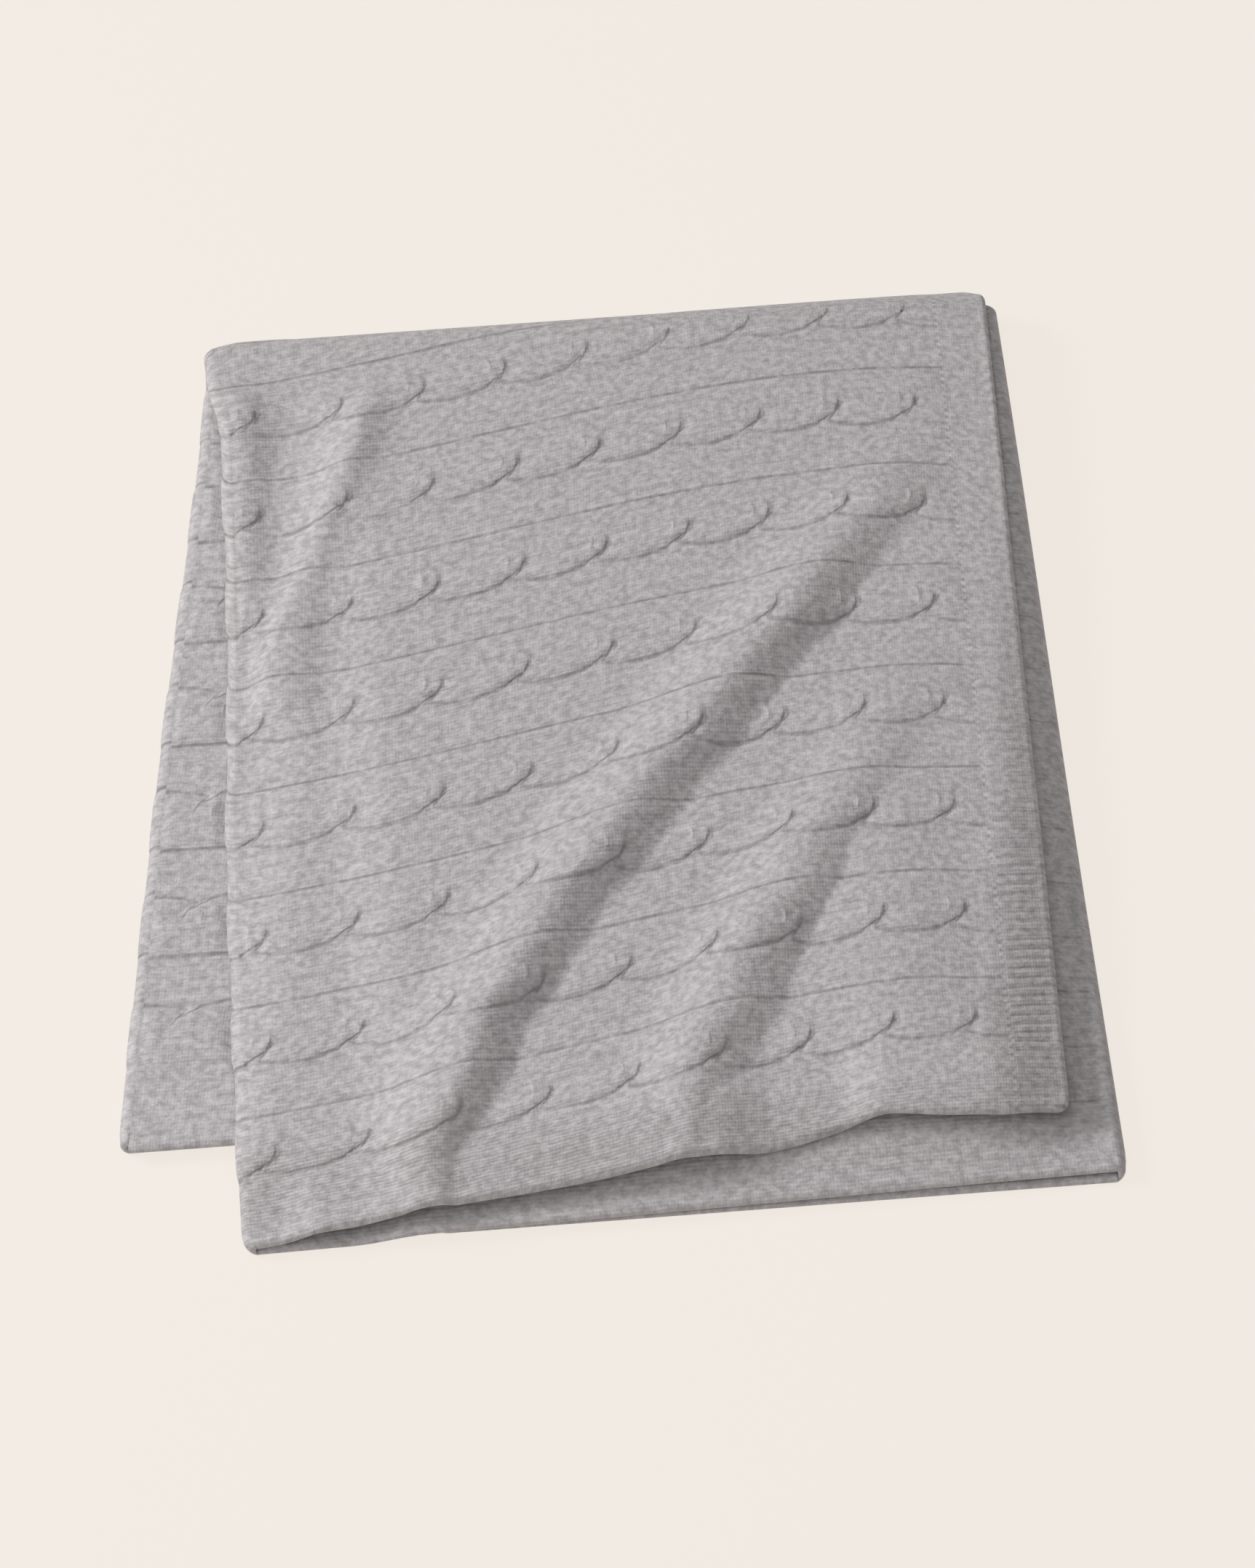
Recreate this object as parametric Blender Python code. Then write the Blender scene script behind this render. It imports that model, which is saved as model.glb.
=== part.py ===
"""Cable-knit throw blanket, folded in three across its width and then once over a far fold.

The blanket lies flat. Its six layers are stacked along +Z, the far fold runs along X at the
+Y end, and the hems lie towards -Y. The front half, the upper three layers, turns about the
far fold's axis. It lies on the rear half and sags to the floor past the rear half's edges.
"""

import math

import bmesh
import bpy
from mathutils import Vector

# Cloth and stack, in metres
THICKNESS = 0.0072
GAP = 0.0003
PITCH = THICKNESS + GAP
FOLD_RADIUS = THICKNESS + GAP / 2
LAYERS = 6

# Where the far fold's bend starts, and the height of its axis above the floor
FOLD_Y = 0.338
AXIS_Z = LAYERS * PITCH / 2 - GAP / 2

# Plan of the front half: outer lines at the far fold and at the hem
FRONT_LEFT_FAR = -0.256
FRONT_LEFT_NEAR = -0.268
FRONT_RIGHT_FAR = 0.280
FRONT_RIGHT_NEAR = 0.291
TOP_EDGE_FAR = 0.272
TOP_EDGE_NEAR = 0.257
INNER_END_FAR = -0.150
INNER_END_NEAR = -0.150
TOP_HEM_LEFT = -0.311
TOP_HEM_RIGHT = -0.266
MIDDLE_HEM_LEFT = -0.310
MIDDLE_HEM_RIGHT = -0.301
INNER_HEM = -0.305

# Plan of the rear half, which runs askew under the front half
REAR_SKEW = -0.080
REAR_LEFT_FAR = -0.258
REAR_RIGHT_FAR = 0.280
BOTTOM_EDGE_FAR = 0.274
REAR_INNER_END_FAR = -0.160
REAR_MIDDLE_HEM = -0.236
REAR_BOTTOM_HEM = -0.232
REAR_INNER_HEM = -0.240

# Where the front half sags: past the rear half's hems and right side, and past the inner
# leaves' free ends. The far fold holds the stack level over the last stretch.
SAG_START = 0.0020
HEM_SAG = 0.066
SIDE_SAG = 0.072
STEP_SAG = 0.046
FOLD_HOLD = 0.100

# Edge bands
RIB_WIDTH = 0.035
BORDER_WIDTH = 0.045
BLUNT_EDGE = 0.0010

# Soft ridges raised across the top leaf: ends at the far side and at the hem
RIDGE_HEIGHT = 0.0130
RIDGE_HALF_WIDTH = 0.046
LONG_RIDGE_FAR = (0.190, 0.225)
LONG_RIDGE_NEAR = (-0.163, -0.285)
LONG_RIDGE_BOW = -0.032
SHORT_RIDGE_FAR = (0.178, 0.100)
SHORT_RIDGE_NEAR = (0.002, -0.285)
RIDGE_FADE = 0.110
SIDE_CALM = 0.045

# Fineness of the meshes. The front half's layers share one lattice, so that they nest.
LEFT_COLUMNS = 5
STEP_COLUMNS = 4
MIDDLE_COLUMNS = 16
RIGHT_COLUMNS = 7
REAR_ROWS = 22
HEM_ROWS = 7
LATTICE_MARGIN = 0.030
PLAIN_COLUMNS = 6
PLAIN_ROWS = 8
BEND_STEPS = 10

COLOURS = {
    "knit": (0.46, 0.44, 0.45, 1.0),
    "rib": (0.36, 0.34, 0.35, 1.0),
    "border": (0.41, 0.39, 0.40, 1.0),
    "fold": (0.44, 0.42, 0.43, 1.0),
    "wrong_side": (0.38, 0.36, 0.37, 1.0),
}


def smooth(value):
    """0 to 1 with level ends."""
    value = min(max(value, 0.0), 1.0)
    return value * value * (3 - 2 * value)


def mix(low, high, share):
    return low + (high - low) * share


def along(far, near, y, hem):
    """x at y on a line from far, at the fold, to near, at the hem."""
    return mix(far, near, (FOLD_Y - y) / (FOLD_Y - hem))


def front_left(y):
    return along(FRONT_LEFT_FAR, FRONT_LEFT_NEAR, y, TOP_HEM_LEFT) + FOLD_RADIUS


def front_right(y):
    return along(FRONT_RIGHT_FAR, FRONT_RIGHT_NEAR, y, INNER_HEM) - FOLD_RADIUS


def top_edge(y):
    return along(TOP_EDGE_FAR, TOP_EDGE_NEAR, y, TOP_HEM_RIGHT)


def inner_end(y):
    return along(INNER_END_FAR, INNER_END_NEAR, y, INNER_HEM)


def rear(far, y):
    return along(far, far + REAR_SKEW, y, REAR_MIDDLE_HEM)


def rear_left(y):
    return rear(REAR_LEFT_FAR, y) + FOLD_RADIUS


def rear_right(y):
    return rear(REAR_RIGHT_FAR, y) - FOLD_RADIUS


def bottom_edge(y):
    return rear(BOTTOM_EDGE_FAR, y)


def rear_inner_end(y):
    return rear(REAR_INNER_END_FAR, y)


def level(y):
    return lambda _x: y


def shifted(line, amount):
    return lambda value: line(value) + amount


def top_hem(x):
    share = (x - FRONT_LEFT_NEAR) / (TOP_EDGE_NEAR - FRONT_LEFT_NEAR)
    return mix(TOP_HEM_LEFT, TOP_HEM_RIGHT, share)


def middle_hem(x):
    share = (x - FRONT_LEFT_NEAR) / (FRONT_RIGHT_NEAR - FRONT_LEFT_NEAR)
    return mix(MIDDLE_HEM_LEFT, MIDDLE_HEM_RIGHT, share)


# Lines from which the front half sags, each just outside the layers that carry it
def hem_sag_line():
    return min(REAR_MIDDLE_HEM, REAR_BOTTOM_HEM, REAR_INNER_HEM) - SAG_START


def side_sag_line(y):
    return rear(REAR_RIGHT_FAR, y) + SAG_START


def rear_step_line(y):
    return rear_inner_end(y) - SAG_START


def front_step_line(y):
    return inner_end(y) - SAG_START


def carried(x, y, index):
    """Height of what carries front layer 3, 4 or 5 at a place: the layers under it."""
    held = smooth((y - FOLD_Y + FOLD_HOLD) / FOLD_HOLD)
    side = 1 - smooth((x - side_sag_line(y)) / SIDE_SAG)
    rear_step = 1 - (1 - held) * smooth((rear_step_line(y) - x) / STEP_SAG)
    front_step = 1 - (1 - held) * smooth((front_step_line(y) - x) / STEP_SAG)
    hem = 1 - smooth((hem_sag_line() - y) / HEM_SAG)
    height = (2 + rear_step) * PITCH * side * hem
    if index > 3:
        height += front_step * PITCH
    if index > 4:
        height += PITCH
    return height


def ridge(x, y, far, near, bow):
    """Height of one ridge: a rounded crest that fades out towards its far end."""
    share = (y - near[1]) / (far[1] - near[1])
    centre = mix(near[0], far[0], share) + 4 * bow * share * (1 - share)
    lean = math.atan2(far[1] - near[1], far[0] - near[0])
    across = abs(x - centre) * math.sin(lean) / RIDGE_HALF_WIDTH
    fade = smooth((far[1] - y) / RIDGE_FADE)
    return RIDGE_HEIGHT * fade * smooth(1 - across)


def base_of(x, y, index):
    """Underside of front layer 3, 4 or 5. The top one also rises over its ridges."""
    base = carried(x, y, index)
    if index == LAYERS - 1:
        long_ridge = ridge(x, y, LONG_RIDGE_FAR, LONG_RIDGE_NEAR, LONG_RIDGE_BOW)
        short_ridge = ridge(x, y, SHORT_RIDGE_FAR, SHORT_RIDGE_NEAR, 0.0)
        calm = smooth((x - front_left(y)) / SIDE_CALM)
        base += max(long_ridge, short_ridge) * calm
    return base


def lattice_rows():
    """y of the shared lattice's rows, with one exactly on the line where the hem sags."""
    start = hem_sag_line()
    far = FOLD_Y + LATTICE_MARGIN
    last = start - HEM_SAG - LATTICE_MARGIN
    upper = [mix(far, start, step / REAR_ROWS) for step in range(REAR_ROWS)]
    return upper + [mix(start, last, step / HEM_ROWS) for step in range(HEM_ROWS + 1)]


def lattice_columns(y):
    """x of the lattice's columns at y, with one on each line where a side or step sags."""
    marks = [
        (FRONT_LEFT_NEAR - LATTICE_MARGIN, LEFT_COLUMNS),
        (rear_step_line(y), STEP_COLUMNS),
        (front_step_line(y), MIDDLE_COLUMNS),
        (side_sag_line(y), RIGHT_COLUMNS),
        (FRONT_RIGHT_NEAR + LATTICE_MARGIN, 0),
    ]
    columns = []
    for (start, steps), (finish, _) in zip(marks, marks[1:]):
        columns += [mix(start, finish, step / steps) for step in range(steps)]
    return columns + [marks[-1][0]]


def material(name, colour):
    made = bpy.data.materials.new(name)
    made.use_nodes = True
    shader = made.node_tree.nodes["Principled BSDF"]
    shader.inputs["Base Color"].default_value = COLOURS[colour]
    shader.inputs["Roughness"].default_value = 0.9
    shader.inputs["Sheen Weight"].default_value = 0.3
    made.diffuse_color = COLOURS[colour]
    return made


def finish_object(name, bm, colour):
    """Turns a bmesh into one named object with its own material."""
    bmesh.ops.remove_doubles(bm, verts=bm.verts, dist=1e-7)
    bmesh.ops.recalc_face_normals(bm, faces=bm.faces)
    mesh = bpy.data.meshes.new(name)
    bm.to_mesh(mesh)
    bm.free()
    made = bpy.data.objects.new(name, mesh)
    bpy.context.scene.collection.objects.link(made)
    mesh.materials.append(material(name + "_cloth", colour))
    return made


def wall(start, end):
    """A vertical cutting plane through two plan points. What lies to its left is kept."""
    run = Vector((end[0] - start[0], end[1] - start[1], 0.0)).normalized()
    return Vector((start[0], start[1], 0.0)), Vector((run.y, -run.x, 0.0))


def outline(left, right, far, near):
    """The four walls of a piece between lines x(y) left and right, far and near lines y(x)."""
    low, high = near(left(FOLD_Y)), far(right(FOLD_Y))
    west, east = left(FOLD_Y), right(FOLD_Y)
    return [
        wall((left(high), high), (left(low), low)),
        wall((right(low), low), (right(high), high)),
        wall((east, far(east)), (west, far(west))),
        wall((west, near(west)), (east, near(east))),
    ]


def front_piece(name, index, left, right, far, near, colour):
    """One piece of a front layer, cut out of the shared lattice."""
    rows = lattice_rows()
    columns = [lattice_columns(y) for y in rows]
    across, down = len(columns[0]) - 1, len(rows) - 1
    bm = bmesh.new()
    bmesh.ops.create_grid(bm, x_segments=across, y_segments=down, size=0.5)
    for vert in bm.verts:
        row = round((0.5 - vert.co.y) * down)
        x, y = columns[row][round((vert.co.x + 0.5) * across)], rows[row]
        vert.co = x, y, base_of(x, y, index)
    bmesh.ops.triangulate(bm, faces=bm.faces, quad_method="FIXED")
    grown = bmesh.ops.extrude_face_region(bm, geom=bm.faces[:])["geom"]
    upper = [item for item in grown if isinstance(item, bmesh.types.BMVert)]
    bmesh.ops.translate(bm, verts=upper, vec=(0.0, 0.0, THICKNESS))
    for point, outward in outline(left, right, far, near):
        everything = bm.verts[:] + bm.edges[:] + bm.faces[:]
        bmesh.ops.bisect_plane(
            bm, geom=everything, dist=1e-7, plane_co=point, plane_no=outward, clear_outer=True
        )
        bmesh.ops.holes_fill(bm, edges=[edge for edge in bm.edges if edge.is_boundary])
    return finish_object(name, bm, colour)


def spaced(steps, free_near, free_far, length):
    """Shares 0 to 1 for grid lines, with finer lines where an edge is rounded."""
    nose = [share * THICKNESS / 2 / length for share in (0.0, 0.12, 0.45, 1.0)]
    start = nose if free_near else [0.0]
    finish = [1 - share for share in reversed(nose)] if free_far else [1.0]
    return start + [mix(start[-1], finish[0], n / steps) for n in range(1, steps)] + finish


def half_height(distance):
    """Half of the cloth's thickness at this distance from a rounded edge."""
    radius = THICKNESS / 2
    if distance >= radius:
        return radius
    return max(math.sqrt(radius**2 - (radius - distance) ** 2), BLUNT_EDGE)


def rear_piece(name, index, left, right, far, near, colour, free=()):
    """One flat piece of a rear layer. free names its rounded edges: left, right or near."""
    depth = far(0.0) - near(0.0)
    width = right(FOLD_Y) - left(FOLD_Y)
    columns = spaced(PLAIN_COLUMNS, "left" in free, "right" in free, width)
    rows = spaced(PLAIN_ROWS, False, "near" in free, depth)
    across, down = len(columns) - 1, len(rows) - 1
    bm = bmesh.new()
    bmesh.ops.create_grid(bm, x_segments=across, y_segments=down, size=0.5)
    grown = bmesh.ops.extrude_face_region(bm, geom=bm.faces[:])["geom"]
    raised = {item for item in grown if isinstance(item, bmesh.types.BMVert)}
    for vert in bm.verts:
        y = mix(far(0.0), near(0.0), rows[round((0.5 - vert.co.y) * down)])
        x = mix(left(y), right(y), columns[round((vert.co.x + 0.5) * across)])
        reach = [THICKNESS]
        if "left" in free:
            reach.append(x - left(y))
        if "right" in free:
            reach.append(right(y) - x)
        if "near" in free:
            reach.append(y - near(0.0))
        half = half_height(max(min(reach), 0.0))
        middle = index * PITCH + THICKNESS / 2
        vert.co = x, y, middle + (half if vert in raised else -half)
    return finish_object(name, bm, colour)


def loft(name, rings, colour):
    """A closed solid through rings of points, each ring a list of the same length."""
    bm = bmesh.new()
    made = [[bm.verts.new(point) for point in ring] for ring in rings]
    count = len(rings[0])
    for first, second in zip(made, made[1:]):
        for step in range(count):
            after = (step + 1) % count
            bm.faces.new((first[step], first[after], second[after], second[step]))
    bm.faces.new(made[0])
    bm.faces.new(made[-1])
    return finish_object(name, bm, colour)


def side_fold(name, line, outward, near, base):
    """A round bend joining two layers along a side line. outward is -1 or 1."""
    taper = [(0.0, 0.45), (0.0015, 0.75), (0.0055, 1.0)]
    last = near + taper[-1][0]
    steps = [y for y in lattice_rows() if last < y < FOLD_Y - GAP]
    stations = [(y, 1.0) for y in [FOLD_Y - GAP] + steps]
    stations += [(near + ahead, scale) for ahead, scale in reversed(taper)]
    rings = []
    for y, scale in stations:
        start = line(y) + outward * GAP
        radius = (FOLD_RADIUS - GAP) * scale
        tall = FOLD_RADIUS * scale
        centre = base(line(y), y) + FOLD_RADIUS
        ring = []
        for step in range(BEND_STEPS + 1):
            angle = math.pi * step / BEND_STEPS
            x = start + outward * radius * math.sin(angle)
            ring.append((x, y, centre + tall * math.cos(angle)))
        rings.append(ring)
    return loft(name, rings, "fold")


def top_fold(name, layers_from_axis, start, finish):
    """A half ring of cloth round the far fold's axis, from one x to another."""
    outer = layers_from_axis * PITCH - GAP / 2
    inner = outer - THICKNESS
    ring = []
    for step in range(BEND_STEPS + 1):
        angle = math.pi * step / BEND_STEPS
        ring.append((FOLD_Y + outer * math.sin(angle), AXIS_Z + outer * math.cos(angle)))
    if inner > GAP:
        for step in reversed(range(BEND_STEPS + 1)):
            angle = math.pi * step / BEND_STEPS
            ring.append(
                (FOLD_Y + inner * math.sin(angle), AXIS_Z + inner * math.cos(angle))
            )
    return loft(name, [[(x, y, z) for y, z in ring] for x in (start, finish)], "fold")


def build_layer(piece, prefix, index, left, right, hem, colour, free_side):
    """A layer's leaf and border, and its rib band where it has a free end."""
    far = level(FOLD_Y - GAP)
    seam = shifted(hem, BORDER_WIDTH)
    leaf_left, leaf_right = left, right
    made = []
    if free_side == "right":
        leaf_right = shifted(right, -RIB_WIDTH - GAP)
        band = (shifted(right, -RIB_WIDTH), right)
    elif free_side == "left":
        leaf_left = shifted(left, RIB_WIDTH + GAP)
        band = (left, shifted(left, RIB_WIDTH))
    leaf = (leaf_left, leaf_right, far, shifted(seam, GAP), colour)
    border = (leaf_left, leaf_right, seam, hem, "border")
    free = {"free": ("near",)} if piece is rear_piece else {}
    made.append(piece(prefix + "_leaf", index, *leaf))
    made.append(piece(prefix + "_border", index, *border, **free))
    if free_side:
        free = {"free": ("near", free_side)} if piece is rear_piece else {}
        made.append(piece(prefix + "_rib_band", index, *band, far, hem, "rib", **free))
    return made


def centre_on_floor(objects):
    """Moves the blanket so that the origin is at the middle of its base."""
    points = [vert.co for made in objects for vert in made.data.vertices]
    middle_x = (min(p.x for p in points) + max(p.x for p in points)) / 2
    middle_y = (min(p.y for p in points) + max(p.y for p in points)) / 2
    for point in points:
        point.x -= middle_x
        point.y -= middle_y
    return middle_y


def hang_on_hinge(objects, hinge_y):
    """Sets each moving piece's origin on the far fold's axis."""
    for made in objects:
        for vert in made.data.vertices:
            vert.co.y -= hinge_y
            vert.co.z -= AXIS_Z
        made.location = (0.0, hinge_y, AXIS_Z)


def main():
    for old in list(bpy.data.objects):
        bpy.data.objects.remove(old, do_unlink=True)

    front = build_layer(
        front_piece, "front_top", 5, front_left, top_edge, top_hem, "knit", "right"
    )
    front += build_layer(
        front_piece, "front_middle", 4, front_left, front_right, middle_hem, "wrong_side", ""
    )
    front += build_layer(
        front_piece, "front_inner", 3, inner_end, front_right, level(INNER_HEM), "knit", "left"
    )
    front.append(
        side_fold(
            "front_left_fold", front_left, -1, TOP_HEM_LEFT, lambda x, y: carried(x, y, 4)
        )
    )
    front.append(
        side_fold(
            "front_right_fold", front_right, 1, MIDDLE_HEM_RIGHT, lambda x, y: carried(x, y, 3)
        )
    )

    back = build_layer(
        rear_piece,
        "rear_inner",
        2,
        rear_inner_end,
        rear_right,
        level(REAR_INNER_HEM),
        "wrong_side",
        "left",
    )
    back += build_layer(
        rear_piece, "rear_middle", 1, rear_left, rear_right, level(REAR_MIDDLE_HEM), "knit", ""
    )
    back += build_layer(
        rear_piece,
        "rear_bottom",
        0,
        rear_left,
        bottom_edge,
        level(REAR_BOTTOM_HEM),
        "wrong_side",
        "right",
    )
    back.append(
        side_fold("rear_right_fold", rear_right, 1, REAR_MIDDLE_HEM, lambda _x, _y: PITCH)
    )
    back.append(side_fold("rear_left_fold", rear_left, -1, REAR_MIDDLE_HEM, lambda _x, _y: 0.0))

    folds = [
        top_fold("top_fold_outer", 3, FRONT_LEFT_FAR, TOP_EDGE_FAR),
        top_fold("top_fold_middle", 2, FRONT_LEFT_FAR, FRONT_RIGHT_FAR),
        top_fold("top_fold_inner", 1, INNER_END_FAR, FRONT_RIGHT_FAR),
    ]

    middle_y = centre_on_floor(front + back + folds)
    hang_on_hinge(front, FOLD_Y - middle_y)


main()
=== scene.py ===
"""Folded cable-knit throw: the cloth, its finishes, the floor, the lights and the camera."""

import math
from collections import namedtuple

import bmesh
import bpy
import numpy as np
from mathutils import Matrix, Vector

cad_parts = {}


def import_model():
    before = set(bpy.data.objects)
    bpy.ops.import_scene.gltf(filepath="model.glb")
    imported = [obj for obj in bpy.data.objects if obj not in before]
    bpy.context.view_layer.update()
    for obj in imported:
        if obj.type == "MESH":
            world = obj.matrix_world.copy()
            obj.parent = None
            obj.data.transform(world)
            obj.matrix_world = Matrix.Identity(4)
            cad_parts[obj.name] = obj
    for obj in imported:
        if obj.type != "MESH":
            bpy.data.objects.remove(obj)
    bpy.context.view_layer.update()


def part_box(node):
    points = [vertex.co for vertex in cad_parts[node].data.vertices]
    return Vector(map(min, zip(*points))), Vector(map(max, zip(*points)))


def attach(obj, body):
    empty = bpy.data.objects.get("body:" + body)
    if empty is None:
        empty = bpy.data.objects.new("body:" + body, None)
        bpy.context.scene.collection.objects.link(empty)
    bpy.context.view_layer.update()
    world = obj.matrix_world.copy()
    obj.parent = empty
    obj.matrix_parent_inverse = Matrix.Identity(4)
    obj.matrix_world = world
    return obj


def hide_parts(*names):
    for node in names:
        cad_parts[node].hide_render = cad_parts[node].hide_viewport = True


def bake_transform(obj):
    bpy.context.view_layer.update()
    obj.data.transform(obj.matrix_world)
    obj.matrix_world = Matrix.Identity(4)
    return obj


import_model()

# The cloth and its stack of layers, in metres, as in the part
THICKNESS = 0.0072
HALF = THICKNESS / 2
GAP = 0.0003
PITCH = THICKNESS + GAP
AXIS_Z = 3 * PITCH - GAP / 2
OUTER_REACH = AXIS_Z - HALF
MIDDLE_REACH = OUTER_REACH - PITCH
INNER_REACH = MIDDLE_REACH - PITCH
BEND = PITCH / 2
SIDE_REACH = BEND + HALF

# Plan of the fold lines, free edges and hems, as in the part
FOLD_Y = 0.338
FRONT_LEFT = (-0.256, -0.268)
FRONT_RIGHT = (0.280, 0.291)
TOP_EDGE = (0.272, 0.257)
INNER_END = -0.150
TOP_HEM = (-0.311, -0.266)
MIDDLE_HEM = (-0.310, -0.301)
INNER_HEM = -0.305
REAR_SKEW = -0.080
REAR_LEFT = -0.258
REAR_RIGHT = 0.280
BOTTOM_EDGE = 0.274
REAR_INNER_END = -0.160
REAR_HEMS = (-0.232, -0.236, -0.240)

# Where the front half sags past what carries it
SAG_START = 0.002
HEM_SAG = 0.066
SIDE_SAG = 0.072
STEP_SAG = 0.046
FOLD_HOLD = 0.100

# Widths across the cloth and of the bands along its edges
TOP_WIDTH = 0.534
MIDDLE_WIDTH = 0.533
INNER_WIDTH = 0.429
RIB_WIDTH = 0.036
BORDER_WIDTH = 0.045
LEAF_END = TOP_WIDTH - RIB_WIDTH
INNER_LEAF_END = INNER_WIDTH - RIB_WIDTH

# A side fold: its flat width, the knit that shows round it, the share of the cloth's
# thickness left inside it, and the share of its roundness left at the hem
FOLD_CUT = 0.0160
FOLD_WRAP = 0.0200
PINCH = 0.55
HEM_TUCK = 0.55

# Lengths along the cloth: to the last bowed row and to the far fold, and from hem to hem
# by way of the bottom leaf and of the strip beside it
BOWED_ROWS = 0.56
ROWS_END = 0.617
BOTTOM_LENGTH = 1.270
STRIP_LENGTH = 1.3135

# The knit: rows of cables, their crossings, and the ribs
ROW_PITCH = 0.078
CABLE_PITCH = 0.057
RIB_PITCH = 0.0068
CABLE_MIDDLE = 0.066
CABLE_LOW = -0.0192
CABLE_HIGH = 0.020
LOW_DIP = 0.0054
LOW_LEAN = 0.9
LOW_END = 0.0050
HIGH_WAVE = 0.0004
FIRST_CROSSING = 0.008
CROSSING_START = -0.0195
TIP_RISE = 0.027
TIP_REACH = 0.0088
LOOP_BACK = 0.0115

# Cubic lines: where the two ridges run as y grows, and how a row bows as x grows
FIRST_RIDGE = (0.0245, 0.8415, 0.2285, -2.1062)
SECOND_RIDGE = (0.1548, 0.5437, -1.2764, -4.9202)
ROW_BOW = (0.0415, 0.1728, -0.2456, -0.9986)

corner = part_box("top_fold_outer")[0]
SHIFT_X = corner[0] - FRONT_LEFT[0]
SHIFT_Y = corner[1] - FOLD_Y
SHIFT = np.array([SHIFT_X, SHIFT_Y, 0.0])


def smooth(value):
    value = np.clip(value, 0.0, 1.0)
    return value * value * (3 - 2 * value)


def after(value, start, length):
    """0 up to start, rising to 1 over a length."""
    return smooth((value - start) / length)


def before(value, end, length):
    """1 at first, falling over a length to 0 at end."""
    return smooth((end - value) / length)


def mix(low, high, share):
    return low + (high - low) * share


def bell(distance, spread):
    return np.exp(-((distance / spread) ** 2))


def cubic(terms, value):
    return terms[0] + terms[1] * value + terms[2] * value**2 + terms[3] * value**3


def cubic_slope(terms, value):
    return terms[1] + 2 * terms[2] * value + 3 * terms[3] * value**2


# Plan lines


def front_left(y):
    """The left fold of the front half, drawn in along its middle and round at its corner."""
    drawn_in = 0.0075 * before(y, 0.325, 0.035) * after(y, -0.08, 0.26)
    short = np.clip((-0.3005 - y) / 0.013, 0.0, 1.0)
    drawn_in = drawn_in + 0.010 * (1 - np.sqrt(1 - short**2 * 0.98))
    return mix(*FRONT_LEFT, (FOLD_Y - y) / (FOLD_Y - TOP_HEM[0])) + SIDE_REACH + drawn_in


def front_right(y):
    return mix(*FRONT_RIGHT, (FOLD_Y - y) / (FOLD_Y - INNER_HEM)) - SIDE_REACH


def top_edge(y):
    return mix(*TOP_EDGE, (FOLD_Y - y) / (FOLD_Y - TOP_HEM[1]))


def inner_end(y):
    return np.full_like(y, INNER_END)


def rear(start, y):
    """A line of the rear half, which all skew alike."""
    return start + REAR_SKEW * (FOLD_Y - y) / (FOLD_Y - REAR_HEMS[1])


def rear_left(y):
    return rear(REAR_LEFT, y) + SIDE_REACH - 0.005 * before(y, 0.31, 0.30)


def rear_right(y):
    return rear(REAR_RIGHT, y) - SIDE_REACH


def bottom_edge(y):
    return rear(BOTTOM_EDGE, y)


def rear_inner_end(y):
    return rear(REAR_INNER_END, y)


def middle_hem(x):
    return mix(*MIDDLE_HEM, (x - FRONT_LEFT[1]) / (FRONT_RIGHT[1] - FRONT_LEFT[1]))


def row_arch(x):
    """How far a row of the top leaf bows away from the hem's left end."""
    return cubic(ROW_BOW, x)


def hem_line(x):
    """How far the top leaf's hem hangs forward of its bowed row."""
    forward = 0.0135 * after(x, -0.26, 0.26) - 0.0040 + 0.0025 * bell(x - 0.060, 0.035)
    return forward - 0.0045 * bell(x - 0.137, 0.030) - 0.0070 * after(x, 0.205, 0.050)


def top_row(x, t):
    """y of row t of the top leaf: bowed rows near the hem, straight at the far fold."""
    hem = -0.3185 + 0.0075 * before(x, 0.10, 0.30) + row_arch(x) - hem_line(x)
    last = (t - BOWED_ROWS) / (ROWS_END - BOWED_ROWS)
    return np.where(t < BOWED_ROWS, hem + t, mix(hem + BOWED_ROWS, FOLD_Y, last))


# Heights of the front half


def drop(x, y, inner=False):
    """How far a front layer sinks below its place in the level stack."""
    held = after(y, FOLD_Y - FOLD_HOLD, FOLD_HOLD)
    side = 1 - after(x, rear(REAR_RIGHT, y) + SAG_START, SIDE_SAG)
    rear_step = 1 - (1 - held) * before(x, rear_inner_end(y) - SAG_START, STEP_SAG)
    front_step = 1 - (1 - held) * before(x, inner_end(y) - SAG_START, STEP_SAG)
    hem = 1 - before(y, min(REAR_HEMS) - SAG_START, HEM_SAG)
    height = (2 + rear_step) * PITCH * side * hem - 3 * PITCH
    return height if inner else height + (front_step - 1) * PITCH


def ridge(x, y, line, ends, stray, spans, start, fade, height):
    """A soft wave along a line: gentle on its upper side, and steepest at its lower foot."""
    along = y.clip(*ends)
    across = (x - cubic(line, along) - stray) / np.hypot(1.0, cubic_slope(line, along))
    share = np.clip(np.abs(across) / np.where(across < 0, spans[0], spans[1]), 0.0, 1.0)
    gentle = smooth(1 - share)
    profile = np.where(across < 0, gentle, mix(gentle, 1 - share**2, 0.38))
    return height * profile * before(y, start, fade)


def ridges(x, y):
    """The top leaf's two diagonal ridges, which stray a little from their lines."""
    stray = 0.0022 * np.sin(2 * math.pi * y / 0.081) + 0.0012 * np.sin(2 * math.pi * y / 0.043)
    first = ridge(x, y, FIRST_RIDGE, (-0.29, 0.24), stray, (0.051, 0.0305), 0.268, 0.180, 0.0160)
    first = first * mix(0.75, 1.0, after(y, row_arch(x) - 0.320, 0.09))
    second = ridge(x, y, SECOND_RIDGE, (-0.28, 0.12), -stray, (0.048, 0.0385), 0.110, 0.250, 0.0148)
    return np.maximum(first, second) + 0.25 * np.minimum(first, second)


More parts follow.
